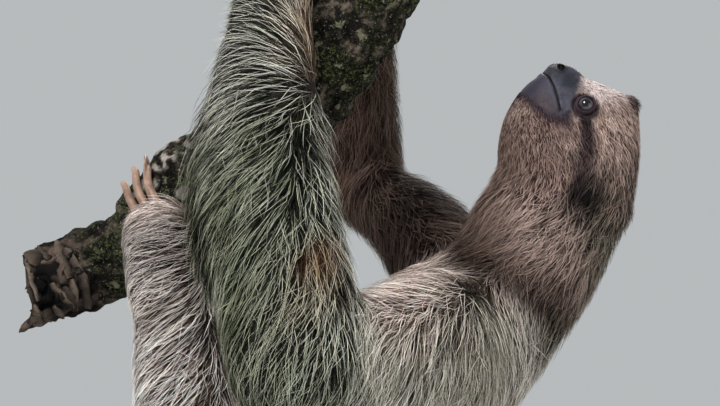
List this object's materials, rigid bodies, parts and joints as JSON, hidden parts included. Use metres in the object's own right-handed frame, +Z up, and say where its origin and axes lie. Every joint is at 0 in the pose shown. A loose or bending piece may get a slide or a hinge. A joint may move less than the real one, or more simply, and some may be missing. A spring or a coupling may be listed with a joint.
{
  "type": "three-toed sloth model",
  "caption": "Life-size still model of a three-toed sloth looking up as it clings to a short cut branch, on a flat base with rods.",
  "frame": {"origin": "centre of the underside of the stand's base, at floor level", "axes": "+Z up; +X from the perch's broken stub towards the animal's back; -Y is the animal's left side, which faces the viewer"},
  "size_m": [0.3276, 0.3271, 0.6187],
  "materials": {
    "coat": "long coarse fur, pale strands over dark under-fur, tinted green on the near arm",
    "face_coat": "short close fur with a dark stripe through the eye",
    "nose_skin": "bare, slightly moist skin",
    "eye": "polished, dark brown",
    "claw": "satin horn",
    "bark": "rough mossy bark with a broken end",
    "stand_base": "dark satin lacquer",
    "stand_rod": "brushed"
  },
  "bodies": {
    "root": {"head": "face_coat", "lower_jaw": "face_coat", "nose": "nose_skin", "eye_left": "eye", "eye_right": "eye", "ear_left": "coat", "ear_right": "coat", "neck": "coat", "chest": "coat", "abdomen": "coat", "tail": "coat", "forearm_left": "coat", "upper_arm_left": "coat", "hand_left": "coat", "shank_left": "coat", "thigh_left": "coat", "foot_left": "coat", "hand_claw_left_1": "claw", "foot_claw_left_1": "claw", "hand_claw_left_2": "claw", "foot_claw_left_2": "claw", "hand_claw_left_3": "claw", "foot_claw_left_3": "claw", "forearm_right": "coat", "upper_arm_right": "coat", "hand_right": "coat", "shank_right": "coat", "thigh_right": "coat", "foot_right": "coat", "hand_claw_right_1": "claw", "foot_claw_right_1": "claw", "hand_claw_right_2": "claw", "foot_claw_right_2": "claw", "hand_claw_right_3": "claw", "foot_claw_right_3": "claw", "perch_branch": "bark", "stand_base": "stand_base", "stand_rod_1": "stand_rod", "stand_rod_2": "stand_rod"}
  },
  "joints": []
}
